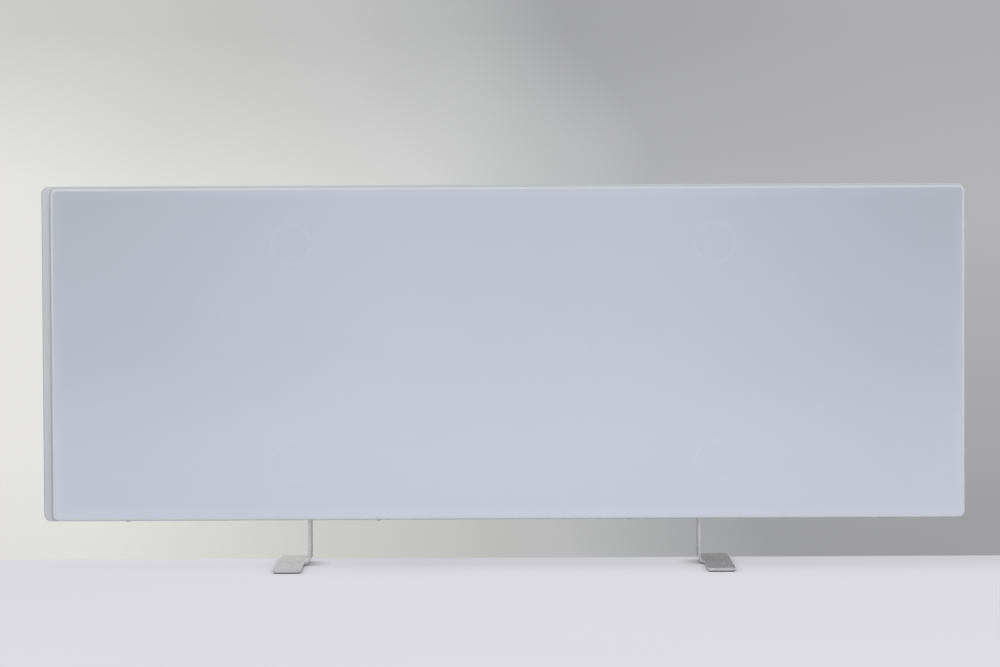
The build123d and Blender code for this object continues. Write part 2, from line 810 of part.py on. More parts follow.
for name, button_z in (("plus_button", plus_button_z), ("minus_button", minus_button_z)):
    with BuildPart() as step_button:
        with BuildSketch(facing_side(flange_front)):
            with Locations((control_y, button_z)):
                RectangleRounded(step_button_width, step_button_height, step_button_corner)
        extrude(amount=fascia_face - step_button_recess - flange_front)
        chamfer(step_button.faces().sort_by(Axis.X)[-1].edges(), length=0.4)
        with BuildSketch(facing_side(flange_front)):
            with Locations((control_y, button_z)):
                Rectangle(
                    step_button_width + 2 * (button_gap + button_flange_extra),
                    step_button_height + 2 * button_gap + button_flange_extra,
                )
        extrude(amount=-button_flange_thickness)
        with BuildSketch(facing_side(stem_end)):
            with Locations((control_y, button_z)):
                Rectangle(button_stem_width, button_stem_width)
        extrude(amount=flange_front - stem_end)
    write(step_button.part, name)

# Circuit board and the parts soldered to it
with BuildPart() as control_board:
    with BuildSketch(facing_side(board_x)):
        with Locations((control_y, board_mid_z)):
            Rectangle(board_width, board_height)
        with Locations(*board_screw_places):
            Circle(board_screw_diameter / 2 + 0.2, mode=Mode.SUBTRACT)
    extrude(amount=board_thickness)
write(control_board.part, "control_board")

with BuildPart() as tact_switches:
    with BuildSketch(facing_side(board_front)):
        with Locations(*[(control_y, z) for z in (power_button_z, plus_button_z, minus_button_z)]):
            Rectangle(tact_body, tact_body)
    extrude(amount=tact_body_height)
    with BuildSketch(facing_side(board_front + tact_body_height)):
        with Locations(*[(control_y, z) for z in (power_button_z, plus_button_z, minus_button_z)]):
            RegularPolygon(plunger_radius, shank_sides)
    extrude(amount=plunger_height)
write(tact_switches.part, "tact_switches")

with BuildPart() as power_relay:
    with BuildSketch(facing_side(board_x)):
        with Locations(relay_place):
            Rectangle(relay_size[1], relay_size[2])
    extrude(amount=-relay_size[0])
    chamfer(power_relay.faces().sort_by(Axis.X)[0].edges(), length=0.8)
write(power_relay.part, "power_relay")

with BuildPart() as smoothing_capacitor:
    with BuildSketch(facing_side(board_x)):
        with Locations(capacitor_place):
            Circle(capacitor_radius)
    extrude(amount=-capacitor_length)
    chamfer(smoothing_capacitor.faces().sort_by(Axis.X)[0].edges(), length=0.8)
write(smoothing_capacitor.part, "smoothing_capacitor")

with BuildPart() as board_screws:
    for y, z in board_screw_places:
        with Locations(Plane((board_x, y, z), z_dir=(-1, 0, 0))):
            add(hex_screw(board_screw_diameter, 7.0, 1.4))
write(board_screws.part, "board_screws")

# Main switch: a flanged frame with a round-bottomed rocker on trunnions
switch_back = fascia_face - switch_depth
with BuildPart() as main_switch_housing:
    with BuildSketch(facing_side(fascia_face)):
        with Locations((control_y, switch_z)):
            Rectangle(
                switch_width + 2 * switch_flange_extra,
                switch_height + 2 * switch_flange_extra,
            )
    extrude(amount=-switch_flange_thickness)
    with BuildSketch(facing_side(fascia_face)):
        with Locations((control_y, switch_z)):
            Rectangle(switch_width, switch_height)
    extrude(amount=-switch_depth)
    pocket_bottom = rocker_pivot_x - rocker_belly - 1.5
    with BuildSketch(facing_side(fascia_face)):
        with Locations((control_y, switch_z)):
            Rectangle(2 * (rocker_radius + button_gap), 2 * (rocker_half_height + button_gap))
    extrude(amount=-(fascia_face - pocket_bottom), mode=Mode.SUBTRACT)
    # Bearing holes for the rocker's trunnions
    with BuildSketch(Plane.XY.offset(switch_z - rocker_half_height - 1.2)):
        with Locations((rocker_pivot_x, control_y)):
            Circle(trunnion_bore_radius)
    extrude(amount=2 * (rocker_half_height + 1.2), mode=Mode.SUBTRACT)
    # Spade terminals at the back
    with BuildSketch(facing_side(switch_back)):
        with Locations((control_y - spade_gap, switch_z), (control_y + spade_gap, switch_z)):
            Rectangle(spade_thickness, spade_width)
    extrude(amount=-spade_length)
write(main_switch_housing.part, "main_switch_housing")

with BuildPart() as rocker_form:
    top_reach = (rocker_radius**2 - rocker_crown**2) ** 0.5
    belly_reach = (rocker_radius**2 - rocker_belly**2) ** 0.5
    with BuildSketch(Plane.XY.offset(-rocker_half_height)):
        with BuildLine():
            Polyline(
                (-rocker_belly, -belly_reach),
                (-rocker_belly, belly_reach),
            )
            ThreePointArc(
                (-rocker_belly, belly_reach),
                (0, rocker_radius),
                (rocker_crown, top_reach),
            )
            Polyline(
                (rocker_crown, top_reach),
                (rocker_crown - rocker_dip, 0),
                (rocker_crown, -top_reach),
            )
            ThreePointArc(
                (rocker_crown, -top_reach),
                (0, -rocker_radius),
                (-rocker_belly, -belly_reach),
            )
        make_face()
    extrude(amount=2 * rocker_half_height)
    with BuildSketch(Plane.XY.offset(-rocker_half_height - 1.0)):
        Circle(trunnion_radius)
    extrude(amount=2 * (rocker_half_height + 1.0))

with BuildPart() as main_switch_rocker:
    rocker_seat = Location((rocker_pivot_x, control_y, switch_z), (0, 0, -rocker_rest_tilt))
    with Locations(rocker_seat):
        add(rocker_form.part)
write(main_switch_rocker.part, "main_switch_rocker")

# Cord inlet: a flanged gland with its nut inside
with BuildPart() as cord_gland:
    with BuildSketch(facing_front(casing_back)):
        with Locations((gland_x, gland_z)):
            Circle(gland_flange_radius)
    extrude(amount=-gland_flange)
    chamfer(cord_gland.faces().sort_by(Axis.Y)[-1].edges(), length=0.8)
    with BuildSketch(facing_front(casing_back)):
        with Locations((gland_x, gland_z)):
            Circle(gland_body_radius)
    extrude(amount=gland_body_length)
    with BuildSketch(facing_front(casing_back + gland_flange)):
        with Locations((gland_x, gland_z)):
            Circle(gland_bore_radius)
    extrude(amount=gland_flange + gland_body_length, mode=Mode.SUBTRACT)
write(cord_gland.part, "cord_gland")

with BuildPart() as gland_nut:
    with BuildSketch(facing_front(casing_wall_back)):
        with Locations((gland_x, gland_z)):
            RegularPolygon(gland_nut_width / 2, 6, major_radius=False)
            Circle(gland_body_radius + 0.05, mode=Mode.SUBTRACT)
    extrude(amount=gland_nut_thickness)
write(gland_nut.part, "gland_nut")

# Terminal block on the rear wall, with three poles
with BuildPart() as terminal_block:
    with BuildSketch(facing_front(casing_wall_back)):
        with Locations((block_x, block_z)):
            Rectangle(block_size[0], block_size[2])
    extrude(amount=block_size[1])
    pole_y = casing_wall_back - block_size[1] / 2
    with BuildSketch(Plane.XY.offset(block_z - block_size[2] / 2)):
        with Locations((block_x, pole_y)):
            with GridLocations(block_pole_pitch, 1, 3, 1):
                Rectangle(block_way, block_way)
    extrude(amount=block_size[2], mode=Mode.SUBTRACT)
    with BuildSketch(facing_front(casing_wall_back - block_size[1])):
        with Locations((block_x, block_z)):
            with GridLocations(block_pole_pitch, 9, 3, 2):
                Rectangle(block_screw_way, block_screw_way)
    extrude(amount=-block_size[1] / 2, mode=Mode.SUBTRACT)
write(terminal_block.part, "terminal_block")

# Room sensor, a capped tube standing on the casing's floor over its vent
with BuildPart() as room_sensor:
    with BuildSketch(Plane.XY.offset(casing_floor + casing_sheet)):
        with Locations(sensor_place):
            Circle(sensor_radius)
    extrude(amount=sensor_length)
    chamfer(room_sensor.faces().sort_by(Axis.Z)[-1].edges(), length=sensor_radius * 0.5)
write(room_sensor.part, "room_sensor")


def wire(name, points):
    """Insulated wire along straight runs with round bends, written under its name."""
    with BuildPart() as lead:
        with BuildLine():
            route = FilletPolyline(*points, radius=wire_bend)
        with BuildSketch(Plane(origin=route @ 0, z_dir=route % 0)):
            RegularPolygon(wire_radius, wire_sides)
        sweep()
    write(lead.part, name)


block_top = block_z + block_size[2] / 2
block_y = casing_wall_back - block_size[1] / 2
spade_x = switch_back - spade_length
rod_end = rod_length / 2 + terminal_pin_length
wire(
    "live_lead",
    [
        (block_x + block_pole_pitch, block_y, block_top - 6),
        (block_x + block_pole_pitch, block_y, 200),
        (spade_x - 1.4, control_y + spade_gap, 240),
        (spade_x - 1.4, control_y + spade_gap, switch_z),
    ],
)
wire(
    "cutout_lead",
    [
        (spade_x - 1.4, control_y - spade_gap, switch_z),
        (spade_x - 1.4, control_y - spade_gap, 286),
        (spade_x - 8, 40, cutout_z),
        (cutout_x + 24, 40, cutout_z),
        (cutout_x + 24, shield_face - cutout_height - spade_length - 1.4, cutout_z),
        (cutout_x + 3.6, shield_face - cutout_height - spade_length - 1.4, cutout_z),
    ],
)
wire(
    "neutral_lead",
    [
        (block_x, block_y, block_z - block_size[2] / 2 + 6),
        (block_x, block_y, 80),
        (block_x - 16, neutral_run_y + 1, neutral_run_z),
        (400, neutral_run_y, neutral_run_z),
        (-400, neutral_run_y, neutral_run_z),
        (-rod_end - 4, neutral_run_y, 80),
        (-rod_end - 4, element_y, element_z - 20),
        (-rod_end - 4, element_y, element_z),
    ],
)
wire(
    "earth_lead",
    [
        (block_x - block_pole_pitch, block_y, block_top - 6),
        (block_x - block_pole_pitch, block_y, 128),
        (block_x - block_pole_pitch, 40, 150),
        (block_x - block_pole_pitch, casing_wall_back - 1, 150),
    ],
)

# Screws
with BuildPart() as foot_screws:
    for x, z in foot_screw_places:
        with Locations(Plane((x, casing_back, z), z_dir=(0, 1, 0))):
            add(hex_screw(foot_screw_diameter, casing_sheet + steel + 2, 3.0))
write(foot_screws.part, "foot_screws")

with BuildPart() as casing_screws:
    for x in casing_screw_places:
        with Locations(Plane((x, casing_screw_y, floor_gap), z_dir=(0, 0, -1))):
            add(hex_screw(casing_screw_diameter, casing_screw_length, 1.8))
write(casing_screws.part, "casing_screws")
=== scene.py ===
import json
import math

import bmesh
import bpy
from mathutils import Matrix, Vector


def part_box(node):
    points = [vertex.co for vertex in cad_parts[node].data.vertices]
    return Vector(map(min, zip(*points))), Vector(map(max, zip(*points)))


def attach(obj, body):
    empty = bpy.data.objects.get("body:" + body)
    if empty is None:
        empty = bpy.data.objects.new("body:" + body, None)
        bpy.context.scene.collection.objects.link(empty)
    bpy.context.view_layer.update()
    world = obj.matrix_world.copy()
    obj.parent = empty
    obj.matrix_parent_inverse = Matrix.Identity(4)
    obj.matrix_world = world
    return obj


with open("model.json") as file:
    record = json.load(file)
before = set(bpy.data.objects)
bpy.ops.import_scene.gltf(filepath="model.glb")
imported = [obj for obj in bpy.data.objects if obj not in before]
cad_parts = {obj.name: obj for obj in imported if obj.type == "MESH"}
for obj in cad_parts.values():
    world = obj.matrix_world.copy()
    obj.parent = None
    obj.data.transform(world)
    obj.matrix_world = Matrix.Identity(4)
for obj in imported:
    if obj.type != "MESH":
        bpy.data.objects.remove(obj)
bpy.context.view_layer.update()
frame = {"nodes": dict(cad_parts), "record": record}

# The visual model of a glass-fronted convector heater, in metres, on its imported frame.
# X runs to the right as the front is seen, Y to the back, Z up.

nodes = frame["nodes"]


def box_of(node):
    """Lowest and highest corner of a CAD node, as vectors."""
    low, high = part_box(node)
    return Vector(low), Vector(high)


glass_low, glass_high = box_of("front_glass")


# Glass: tones, and widths of its polished edge with its painted highlight, of the painted glow inside
# that edge, of the middle that the painted side shade leaves alone, and of the discs' rings

glass_field = (0.570, 0.608, 0.670)
glass_edge_and_highlight = (0.640, 0.655, 0.670)
glass_corner = 0.007
edge_inner = 0.0018
edge_outer = 0.0040
edge_glow_reach = 0.018
unshaded_half = 0.10
disc_radius = 0.022
ring_width = 0.003
rough_spread = 0.06
stripe_turns = 2100.0


# Materials

class Paint:
    """A node material under construction, with short calls for the nodes that it needs."""

    def __init__(self, name):
        self.material = bpy.data.materials.new(name)
        self.material.use_nodes = True
        self.tree = self.material.node_tree
        self.shader = self.tree.nodes["Principled BSDF"]
        self.place = self.node("ShaderNodeTexCoord").outputs["Object"]

    def node(self, kind, **values):
        made = self.tree.nodes.new(kind)
        for key, value in values.items():
            setattr(made, key, value)
        return made

    def link(self, source, target):
        self.tree.links.new(source, target)

    def set(self, **values):
        """Constants on the shader's own sockets, with underscores for the spaces in their names."""
        for key, value in values.items():
            self.shader.inputs[key.replace("_", " ")].default_value = value

    def noise(self, scale, detail=2.0, roughness=0.5, stretch=(1, 1, 1)):
        """Noise over the object, with features of about 1 / scale metres."""
        mapping = self.node("ShaderNodeMapping")
        mapping.inputs["Scale"].default_value = stretch
        self.link(self.place, mapping.inputs["Vector"])
        made = self.node("ShaderNodeTexNoise")
        made.inputs["Scale"].default_value = scale
        made.inputs["Detail"].default_value = detail
        made.inputs["Roughness"].default_value = roughness
        self.link(mapping.outputs["Vector"], made.inputs["Vector"])
        return made.outputs["Fac"]

    def ramp(self, value, stops):
        """Colours at places from 0 to 1 along value."""
        made = self.node("ShaderNodeValToRGB")
        elements = made.color_ramp.elements
        while len(elements) < len(stops):
            elements.new(0.5)
        for element, (position, colour) in zip(elements, stops):
            element.position = position
            element.color = (*colour, 1)
        self.link(value, made.inputs["Fac"])
        return made.outputs["Color"]

    def math(self, operation, first, second=None, clamp=False):
        made = self.node("ShaderNodeMath", operation=operation, use_clamp=clamp)
        for socket, value in zip(made.inputs, (first, second)):
            if value is None:
                continue
            if isinstance(value, (int, float)):
                socket.default_value = value
            else:
                self.link(value, socket)
        return made.outputs[0]

    def product(self, *values):
        """All the values multiplied together."""
        total = values[0]
        for value in values[1:]:
            total = self.math("MULTIPLY", total, value)
        return total

    def beyond(self, value, middle):
        """Distance of a value from a middle, whichever side it is on."""
        return self.math("ABSOLUTE", self.math("SUBTRACT", value, middle))

    def length(self, first, second):
        """Length of a flat arrow whose two parts are given."""
        square = self.math("ADD", self.product(first, first), self.product(second, second))
        return self.math("SQRT", square)

    def range(self, value, low, high, to_low, to_high, smooth=False):
        """value, moved from one range to another and held at its ends."""
        made = self.node("ShaderNodeMapRange")
        if smooth:
            made.interpolation_type = "SMOOTHSTEP"
        made.inputs["From Min"].default_value = low
        made.inputs["From Max"].default_value = high
        made.inputs["To Min"].default_value = to_low
        made.inputs["To Max"].default_value = to_high
        self.link(value, made.inputs["Value"])
        return made.outputs["Result"]

    def axes(self):
        """The place's X, Y and Z, one by one."""
        split = self.node("ShaderNodeSeparateXYZ")
        self.link(self.place, split.inputs["Vector"])
        return split.outputs["X"], split.outputs["Y"], split.outputs["Z"]

    def mix(self, factor, first, second):
        """The first colour where the factor is 0, and the second where it is 1."""
        made = self.node("ShaderNodeMix", data_type="RGBA")
        if isinstance(factor, (int, float)):
            made.inputs["Factor"].default_value = factor
        else:
            self.link(factor, made.inputs["Factor"])
        for socket, value in ((made.inputs[6], first), (made.inputs[7], second)):
            if isinstance(value, tuple):
                socket.default_value = (*value, 1)
            else:
                self.link(value, socket)
        return made.outputs[2]

    def scaled(self, colour, factor):
        """A colour times a factor that varies."""
        made = self.node("ShaderNodeVectorMath", operation="SCALE")
        if isinstance(colour, tuple):
            made.inputs[0].default_value = colour
        else:
            self.link(colour, made.inputs[0])
        self.link(factor, made.inputs["Scale"])
        return made.outputs[0]

    def colour(self, value):
        self.link(value, self.shader.inputs["Base Color"])

    def roughness(self, value):
        self.link(value, self.shader.inputs["Roughness"])

    def bump(self, height, distance, strength=1.0):
        made = self.node("ShaderNodeBump")
        made.inputs["Distance"].default_value = distance
        made.inputs["Strength"].default_value = strength
        self.link(height, made.inputs["Height"])
        self.link(made.outputs["Normal"], self.shader.inputs["Normal"])


def shade(colour, factor):
    """A colour made darker or lighter."""
    return tuple(min(1.0, channel * factor) for channel in colour)


def clouded(paint, colour, spread, scale):
    """The colour, a little darker and lighter in slow clouds, whose noise is handed back."""
    clouds = paint.noise(scale, 3.0)
    paint.colour(paint.ramp(clouds, [(0.3, shade(colour, 1 - spread)), (0.7, shade(colour, 1 + spread))]))
    return clouds


def varied_paint(name, colour, spread, rough, grain_scale, grain_depth, cloud_scale=9.0):
    """Coating with a fine texture and slow changes of tone."""
    paint = Paint(name)
    clouded(paint, colour, spread, cloud_scale)
    grain = paint.noise(grain_scale, 2.0)
    paint.roughness(paint.range(grain, 0.3, 0.7, rough - rough_spread, rough + rough_spread))
    paint.bump(grain, grain_depth)
    return paint


def powder_coat(name, colour):
    """Baked casing paint, with a fine, dull skin."""
    paint = varied_paint(name, colour, 0.012, 0.50, 900.0, 0.00006)
    paint.set(Specular_IOR_Level=0.3)
    return paint.material


def satin_metal(name, colour):
    """Metallic lacquer on bent steel, smooth enough to take on the tones round it."""
    paint = Paint(name)
    clouds = clouded(paint, colour, 0.02, 30.0)
    paint.roughness(paint.range(clouds, 0.3, 0.7, 0.26, 0.30))
    paint.set(Metallic=0.8)
    return paint.material


def moulded_plastic(name, colour, rough=0.5):
    """Plastic with the fine skin of its mould."""
    paint = varied_paint(name, colour, 0.03, rough, 2200.0, 0.00004, 60.0)
    return paint.material


def rolled_metal(name, colour, rough, stretch=(2, 40, 40)):
    """Sheet with fine lines along its rolling direction."""
    paint = Paint(name)
    lines = paint.noise(60.0, 4.0, 0.6, stretch)
    paint.colour(paint.ramp(lines, [(0.25, shade(colour, 0.88)), (0.75, shade(colour, 1.08))]))
    paint.roughness(paint.range(lines, 0.3, 0.7, rough - 0.08, rough + 0.1))
    paint.bump(lines, 0.00003)
    paint.set(Metallic=1.0)
    return paint.material


def painted_glass():
    """Glass with paint on its back: a clear, polished edge, lighter partly in its own tone and partly as
    a painted highlight, round a field with painted light: lighter towards the bottom, with painted shade
    at the sides and a painted glow just inside the edge.
    """
    paint = Paint("back_painted_glass")
    x, y, z = paint.axes()
    middle = (glass_low + glass_high) / 2
    half = (glass_high - glass_low) / 2
    from_side = paint.beyond(x, middle.x)
    inside_x = paint.math("SUBTRACT", half.x, from_side)
    inside_z = paint.math("SUBTRACT", half.z, paint.beyond(z, middle.z))
    inside = paint.math("MINIMUM", inside_x, inside_z)
    corner_x = paint.math("MAXIMUM", paint.math("SUBTRACT", glass_corner, inside_x), 0.0)
    corner_z = paint.math("MAXIMUM", paint.math("SUBTRACT", glass_corner, inside_z), 0.0)
    from_outline = paint.math("SUBTRACT", glass_corner, paint.length(corner_x, corner_z))
    # Painted highlight: the polished edge band takes a lighter colour, partly the clear edge's own tone
    edge_and_highlight_mask = paint.range(from_outline, edge_inner, edge_outer, 1.0, 0.0, True)
    # Painted glow: the field is 3 per cent lighter just inside the edge, fading inwards
    painted_edge_glow = paint.range(inside, edge_outer, edge_glow_reach, 1.03, 1.0, True)
    # Painted light: the field is lighter towards the bottom and darker towards the top
    height = paint.range(z, glass_low.z, glass_high.z, 1.115, 0.940)
    # Painted shade: the field darkens outside the middle towards the sides, more so towards the top
    side_shade_reach = paint.range(from_side, unshaded_half, half.x, 0.0, 1.0, True)
    painted_side_shade = paint.product(side_shade_reach, paint.range(z, glass_low.z, glass_high.z, 0.045, 0.140))
    rings = paint.range(disc_marks(paint), 0.0, 1.0, 1.0, 1.022)
    clouds = paint.range(paint.noise(3.0, 3.0), 0.3, 0.7, 0.99, 1.01)
    level = paint.product(height, paint.math("SUBTRACT", 1.0, painted_side_shade), painted_edge_glow, rings, clouds)
    paint.colour(paint.mix(edge_and_highlight_mask, paint.scaled(glass_field, level), glass_edge_and_highlight))
    smudges = paint.noise(22.0, 5.0, 0.65)
    paint.roughness(paint.range(smudges, 0.35, 0.75, 0.10, 0.16))
    paint.set(IOR=1.5)
    return paint.material


def disc_marks(paint):
    """Faint rings where the mounting discs are bonded to the back of the pane."""
    low, high = box_of("glass_bond_pads")
    x, y, z = paint.axes()
    middle = (low + high) / 2
    reach = (high - low) / 2
    from_x = paint.math("SUBTRACT", paint.beyond(x, middle.x), reach.x - disc_radius)
    from_z = paint.math("SUBTRACT", paint.beyond(z, middle.z), reach.z - disc_radius)
    distance = paint.length(from_x, from_z)
    outer = paint.range(distance, disc_radius - ring_width, disc_radius, 0.0, 1.0, True)
    inner = paint.range(distance, disc_radius, disc_radius + ring_width, 1.0, 0.0, True)
    return paint.product(outer, inner)


def rubber(name, colour):
    """Dull, uneven rubber."""
    paint = varied_paint(name, colour, 0.15, 0.75, 1500.0, 0.00008, 80.0)
    return paint.material


def ceramic(name, colour):
    """Unglazed electrical ceramic."""
    paint = varied_paint(name, colour, 0.05, 0.62, 1400.0, 0.00005, 70.0)
    return paint.material


def striped_insulation(name, first, second):
    """Wire covering in two colours."""
    paint = Paint(name)
    x, y, z = paint.axes()
    wave = paint.math("SINE", paint.product(paint.math("ADD", y, z), stripe_turns))
    paint.colour(paint.mix(paint.range(wave, 0.1, 0.3, 0.0, 1.0), first, second))
    paint.roughness(paint.range(paint.noise(900.0), 0.3, 0.7, 0.38, 0.5))
    return paint.material


finishes = {
    "back_painted_glass": painted_glass(),
    "casing_paint": powder_coat("casing_paint", (0.590, 0.602, 0.622)),
    "grille_paint": powder_coat("grille_paint", (0.560, 0.572, 0.592)),
    "foot_paint": satin_metal("foot_paint", (0.800, 0.795, 0.780)),
    "pad_rubber": rubber("pad_rubber", (0.020, 0.020, 0.022)),
    "bond_rubber": rubber("bond_rubber", (0.10, 0.10, 0.11)),
    "plated_steel": rolled_metal("plated_steel", (0.62, 0.62, 0.62), 0.36),
    "element_aluminium": rolled_metal("element_aluminium", (0.70, 0.71, 0.72), 0.34),
    "sheath_steel": rolled_metal("sheath_steel", (0.34, 0.31, 0.29), 0.42),
    "bush_ceramic": ceramic("bush_ceramic", (0.80, 0.77, 0.70)),
    "shield_steel": rolled_metal("shield_steel", (0.66, 0.67, 0.68), 0.30),
    "cutout_ceramic": ceramic("cutout_ceramic", (0.74, 0.71, 0.64)),
    "fascia_plastic": moulded_plastic("fascia_plastic", (0.600, 0.620, 0.650), 0.48),
    "lens_plastic": moulded_plastic("lens_plastic", (0.015, 0.015, 0.018), 0.14),
    "module_plastic": moulded_plastic("module_plastic", (0.030, 0.030, 0.033)),
    "board_laminate": moulded_plastic("board_laminate", (0.03, 0.12, 0.05), 0.35),
    "relay_plastic": moulded_plastic("relay_plastic", (0.03, 0.06, 0.20), 0.40),
    "capacitor_aluminium": rolled_metal("capacitor_aluminium", (0.25, 0.26, 0.30), 0.35),
    "button_dark": moulded_plastic("button_dark", (0.030, 0.031, 0.034), 0.42),
    "button_plastic": moulded_plastic("button_plastic", (0.43, 0.45, 0.48), 0.45),
    "terminal_plastic": moulded_plastic("terminal_plastic", (0.76, 0.74, 0.68), 0.45),
    "lead_brown": moulded_plastic("lead_brown", (0.10, 0.040, 0.018), 0.42),
    "lead_blue": moulded_plastic("lead_blue", (0.015, 0.06, 0.28), 0.42),
    "lead_green": striped_insulation("lead_green", (0.06, 0.24, 0.03), (0.62, 0.50, 0.03)),
    "gland_plastic": moulded_plastic("gland_plastic", (0.040, 0.040, 0.043), 0.5),
}


def dress(piece, slot):
    """piece takes the finish of a material slot of the record."""
    piece.data.materials.clear()
    piece.data.materials.append(finishes[slot])


for subpart in frame["record"]["subparts"]:
    dress(nodes[subpart["node"]], subpart["material_slot"])


# Raised marks on the control panel: a plus, a minus and a broken ring with a bar

panel_low, panel_high = box_of("control_fascia")
plus_low, plus_high = box_of("plus_button")
minus_low, minus_high = box_of("minus_button")
power_low, power_high = box_of("power_button")
mark_y = (panel_low.y + plus_low.y) / 2
mark_half = 0.0019
stroke_half = 0.00035
mark_raise = 0.00025
mark_root = 0.0002
ring_gap = math.radians(36)
ring_steps = 28
bar_rise = 0.001345
bar_half = 0.00095


def plus_outline(y, z):
    """Corners of a plus sign, in order round it."""
    near, far = stroke_half, mark_half
    turns = [(near, far), (near, near), (far, near), (far, -near), (near, -near), (near, -far)]
    turns += [(-across, -up) for across, up in turns]
    return [(y + across, z + up) for across, up in turns]


def bar_outline(y, z, half_across, half_up):
    """Corners of a straight bar."""
    return [(y - half_across, z - half_up), (y + half_across, z - half_up),
            (y + half_across, z + half_up), (y - half_across, z + half_up)]


def broken_ring_outline(y, z):
    """A ring that is open at its top."""
    sweep = 2 * math.pi - 2 * ring_gap
    angles = [ring_gap + sweep * step / ring_steps for step in range(ring_steps + 1)]
    outer = [(y + mark_half * math.sin(a), z + mark_half * math.cos(a)) for a in angles]
    inner_radius = mark_half - 2 * stroke_half
    inner = [(y + inner_radius * math.sin(a), z + inner_radius * math.cos(a)) for a in reversed(angles)]
    return outer + inner


def raised_mark(name, outlines):
    """Flat shapes that stand a little out of the panel's face."""
    corners = []
    faces = []
    for outline in outlines:
        count = len(outline)
        root = len(corners)
        top = root + count
        corners += [(panel_high.x - mark_root, y, z) for y, z in outline]
        corners += [(panel_high.x + mark_raise, y, z) for y, z in outline]
        faces.append(tuple(top + step for step in range(count)))
        faces.append(tuple(root + step for step in reversed(range(count))))
        for step in range(count):
            following = (step + 1) % count
            faces.append((root + step, root + following, top + following, top + step))
    mesh = bpy.data.meshes.new(name)
    mesh.from_pydata(corners, [], faces)
    shaped = bmesh.new()
    shaped.from_mesh(mesh)
    bmesh.ops.recalc_face_normals(shaped, faces=shaped.faces)
    shaped.to_mesh(mesh)
    shaped.free()
    piece = bpy.data.objects.new(name, mesh)
    bpy.context.scene.collection.objects.link(piece)
    dress(piece, "button_dark")
    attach(piece, "body")


power_z = (power_low.z + power_high.z) / 2
plus_z = (plus_low.z + plus_high.z) / 2
minus_z = (minus_low.z + minus_high.z) / 2
raised_mark("plus_mark", [plus_outline(mark_y, plus_z)])
raised_mark("minus_mark", [bar_outline(mark_y, minus_z, mark_half, stroke_half)])
power_bar = bar_outline(mark_y, power_z + bar_rise, stroke_half, bar_half)
raised_mark("power_mark", [broken_ring_outline(mark_y, power_z), power_bar])


# Stage: a pale floor, which shades into the backdrop's tones behind the heater

backdrop_light = (0.790, 0.785, 0.755)
backdrop_middle = (0.700, 0.700, 0.680)
backdrop_grey = (0.640, 0.645, 0.640)
backdrop_dark = (0.440, 0.442, 0.455)
backdrop_far = (0.460, 0.455, 0.470)
backdrop_left = -0.13
backdrop_right = 0.17
backdrop_lean = 0.40
cloud_scale = 14.0
cloud_sway = 0.012
floor_colour = (0.755, 0.750, 0.795)
floor_line = 0.085
floor_line_width = 0.012
floor_shade_start = -0.16
floor_half = 9.0
contact_reach = 0.025
contact_darkest = 0.10
eye_distance = 4.627
eye_height = 0.4303


def backdrop_tone(paint, across, up):
    """Soft light paper at the left, shaded towards the right, for a place across and up the view."""
    spot = paint.node("ShaderNodeCombineXYZ")
    paint.link(across, spot.inputs["X"])
    paint.link(up, spot.inputs["Y"])
    cloud = paint.node("ShaderNodeTexNoise")
    cloud.inputs["Scale"].default_value = cloud_scale
    cloud.inputs["Detail"].default_value = 1.0
    paint.link(spot.outputs["Vector"], cloud.inputs["Vector"])
    drift = paint.math("ADD", across, paint.product(up, backdrop_lean))
    drift = paint.math("ADD", drift, paint.range(cloud.outputs["Fac"], 0.3, 0.7, -cloud_sway, cloud_sway))
    stops = [
        (0.0, backdrop_light),
        (0.20, backdrop_middle),
        (0.36, backdrop_grey),
        (0.53, backdrop_dark),
        (1.0, backdrop_far),
    ]
    tone = paint.ramp(paint.range(drift, backdrop_left, backdrop_right, 0.0, 1.0), stops)
    # Darker towards the top of the view, and towards its foot at the right
    rise = paint.range(up, 0.0, 0.036, 0.0, 0.175)
    rise = paint.product(rise, paint.range(across, 0.0, 0.09, 1.0, 0.4))
    sink = paint.range(up, -0.08, -0.01, 0.20, 0.0)
    sink = paint.product(sink, paint.range(across, -0.10, 0.0, 0.0, 1.0))
    level = paint.math("SUBTRACT", paint.math("SUBTRACT", 1.0, rise), sink)
    # Above the view, where only the feet mirror it, lighter at the left and darker at the right
    above = paint.range(up, 0.05, 0.08, 0.0, 1.0)
    contrast = paint.product(above, paint.range(across, -0.03, 0.03, 0.45, -0.40))
    return paint.scaled(tone, paint.math("ADD", level, contrast))


def blend_shaders(paint, share, first, second, target):
    """The second shader takes its share from the first, on the way to the target."""
    mixed = paint.node("ShaderNodeMixShader")
    paint.link(share, mixed.inputs[0])
    paint.link(first, mixed.inputs[1])
    paint.link(second, mixed.inputs[2])
    paint.link(mixed.outputs[0], target)


